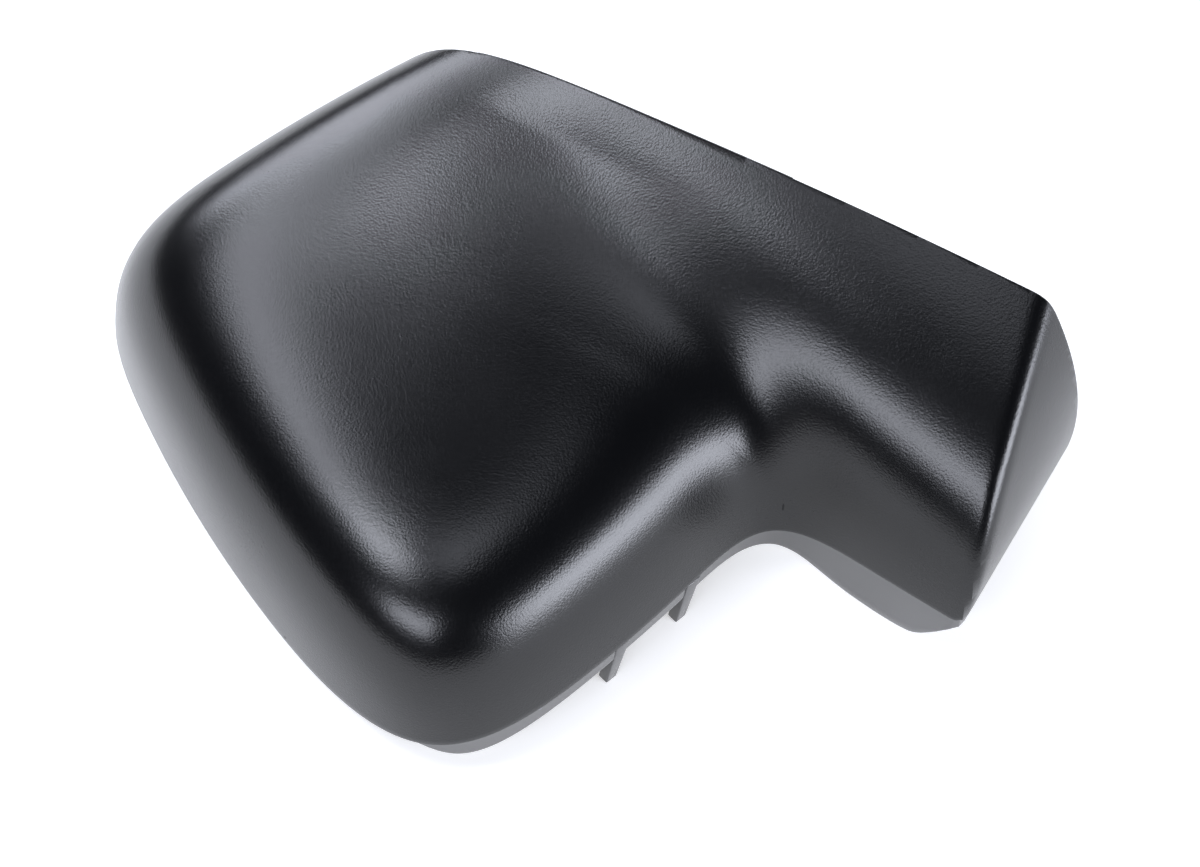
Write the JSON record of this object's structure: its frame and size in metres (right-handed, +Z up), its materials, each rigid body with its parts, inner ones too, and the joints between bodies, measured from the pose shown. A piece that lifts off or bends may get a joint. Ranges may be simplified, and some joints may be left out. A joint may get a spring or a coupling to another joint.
{
  "type": "wing mirror cover",
  "caption": "Moulded shell cover for a van's wing mirror: a rounded body and a tapering arm, open underneath and behind, with a stepped lip and hanging clips.",
  "frame": {"origin": "middle of the outline in plan, on the table", "axes": "+Z up with the open side down, +X from the body towards the end face of the arm, +Y towards the straight back edge"},
  "size_m": [0.3358, 0.199, 0.1133],
  "materials": {
    "shell": "finely grained satin black, as moulded"
  },
  "bodies": {
    "root": {"mirror_cover": "shell"}
  },
  "joints": []
}
